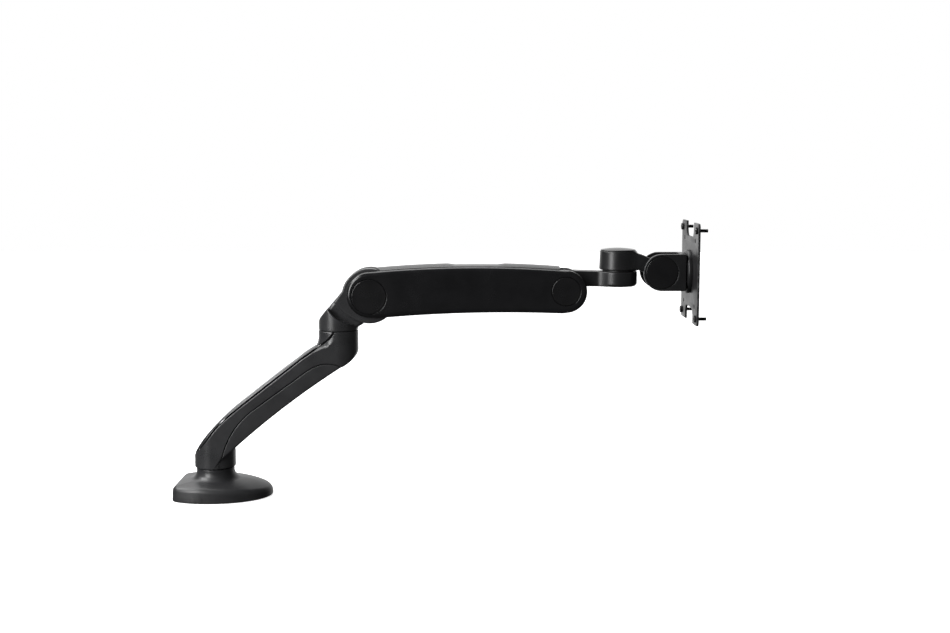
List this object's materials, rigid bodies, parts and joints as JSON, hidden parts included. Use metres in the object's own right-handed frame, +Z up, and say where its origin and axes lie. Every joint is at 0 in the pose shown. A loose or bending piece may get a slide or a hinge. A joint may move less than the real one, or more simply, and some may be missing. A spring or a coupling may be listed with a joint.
{
  "type": "monitor arm",
  "caption": "Desk monitor arm with a bullet-shaped base, rising lower arm, sprung levelling upper arm, swivel and tilt head and a 100 mm monitor plate.",
  "frame": {"origin": "centre of the base's swivel axis on the underside of the base pad, at desk height", "axes": "+Z up along the base's swivel axis; +X from the base towards the monitor, square to the monitor plate; +Y completes a right-handed frame, so the arm lies in the plane Y = 0"},
  "size_m": [0.6161, 0.116, 0.3246],
  "materials": {
    "satin_casting": "satin charcoal-black powder paint on die-cast aluminium",
    "head_casting": "satin black powder paint on die-cast aluminium",
    "cover_plastic": "satin charcoal-black plastic, matched to the castings",
    "arm_shell": "satin black paint, slightly glossy, on die-cast aluminium",
    "arm_lid": "fine-textured black plastic",
    "arm_cap": "satin black plastic",
    "black_trim": "fine-textured black plastic",
    "plate_paint": "black powder coat on sheet steel",
    "black_screw": "black oxide",
    "zinc_steel": "bright zinc plate",
    "polished_rod": "polished",
    "spring_paint": "gloss black",
    "nylon": "unfilled nylon",
    "rubber_pad": "matt",
    "washer_black": "black acetal"
  },
  "bodies": {
    "base": {"base_pad": "rubber_pad", "base_plate": "zinc_steel", "base_cover": "cover_plastic", "base_post": "zinc_steel", "base_screws": "zinc_steel", "base_cover_screws": "black_screw", "base_swivel_washer": "washer_black", "post_retainer_washer": "zinc_steel", "post_retainer_screw": "zinc_steel"},
    "lower_arm": {"lower_arm_casting": "satin_casting", "lower_arm_top_trim": "black_trim", "lower_arm_cable_cover": "cover_plastic", "base_bush": "nylon", "elbow_bush": "nylon", "socket_plug": "black_screw"},
    "elbow": {"elbow_washer": "washer_black", "elbow_casting": "satin_casting", "elbow_retainer_washer": "zinc_steel", "elbow_retainer_screw": "zinc_steel", "rear_pivot_pins": "zinc_steel", "rear_link_pin": "zinc_steel", "tension_screw": "zinc_steel", "tension_nut": "zinc_steel"},
    "spring_arm": {"spring_arm_shell": "arm_shell", "spring_arm_top_cover": "arm_lid", "spring_arm_bottom_cover": "black_trim", "rear_pivot_caps": "arm_cap", "front_pivot_caps": "arm_cap", "rear_pivot_bushes": "nylon", "front_pivot_bushes": "nylon", "gas_spring_cylinder": "spring_paint", "gas_spring_anchor_pin": "zinc_steel"},
    "spring_rod": {"gas_spring_rod": "polished_rod"},
    "link": {"levelling_link": "zinc_steel"},
    "knuckle": {"knuckle_casting": "head_casting", "front_pivot_pins": "zinc_steel", "front_link_pin": "zinc_steel", "head_pivot_pin": "zinc_steel", "knuckle_plug": "black_trim", "head_washer": "washer_black", "head_retainer": "zinc_steel"},
    "head": {"swivel_head": "head_casting", "head_bush": "nylon", "head_cap": "arm_cap", "tilt_washers": "washer_black"},
    "bracket": {"tilt_bracket": "head_casting", "tilt_bolt": "zinc_steel", "tilt_nut": "zinc_steel", "tilt_caps": "arm_cap", "roll_bolt": "black_screw", "roll_washer": "washer_black"},
    "plate": {"roll_disc": "head_casting", "monitor_plate": "plate_paint", "plate_rivets": "black_screw", "monitor_screws": "black_screw"}
  },
  "joints": [
    {"name": "base_swivel", "type": "hinge", "parent": "base", "child": "lower_arm", "pos_m": [0, 0, 0.045], "axis": [0, 0, 1], "continuous": true},
    {"name": "elbow_swivel", "type": "hinge", "parent": "lower_arm", "child": "elbow", "pos_m": [0.148, 0, 0.19], "axis": [0, 0, 1], "range_deg": [-120, 120]},
    {"name": "lift", "type": "hinge", "parent": "elbow", "child": "spring_arm", "pos_m": [0.1857, 0, 0.239], "axis": [0, -1, 0], "range_deg": [-40, 35]},
    {"name": "rod_slide", "type": "slide", "parent": "spring_arm", "child": "spring_rod", "axis": [-0.9996, 0, -0.0272], "range_m": [-0.009, 0.009]},
    {"name": "link_pivot", "type": "hinge", "parent": "elbow", "child": "link", "pos_m": [0.1857, 0, 0.253], "axis": [0, -1, 0], "range_deg": [-41, 36]},
    {"name": "knuckle_level", "type": "hinge", "parent": "spring_arm", "child": "knuckle", "pos_m": [0.4134, 0, 0.2452], "axis": [0, -1, 0], "range_deg": [-36, 41]},
    {"name": "head_swivel", "type": "hinge", "parent": "knuckle", "child": "head", "pos_m": [0.475, 0, 0.275], "axis": [0, 0, 1], "range_deg": [-90, 90]},
    {"name": "head_tilt", "type": "hinge", "parent": "head", "child": "bracket", "pos_m": [0.524, 0, 0.2666], "axis": [0, 1, 0], "range_deg": [-75, 45]},
    {"name": "plate_roll", "type": "hinge", "parent": "bracket", "child": "plate", "pos_m": [0.555, 0, 0.2666], "axis": [1, 0, 0], "range_deg": [-90, 90]}
  ],
  "couplings": [
    {"joint": "rod_slide", "follows": "lift", "m_per_rad": 0.0083},
    {"joint": "link_pivot", "follows": "lift", "ratio": 1},
    {"joint": "knuckle_level", "follows": "lift", "ratio": -1}
  ]
}
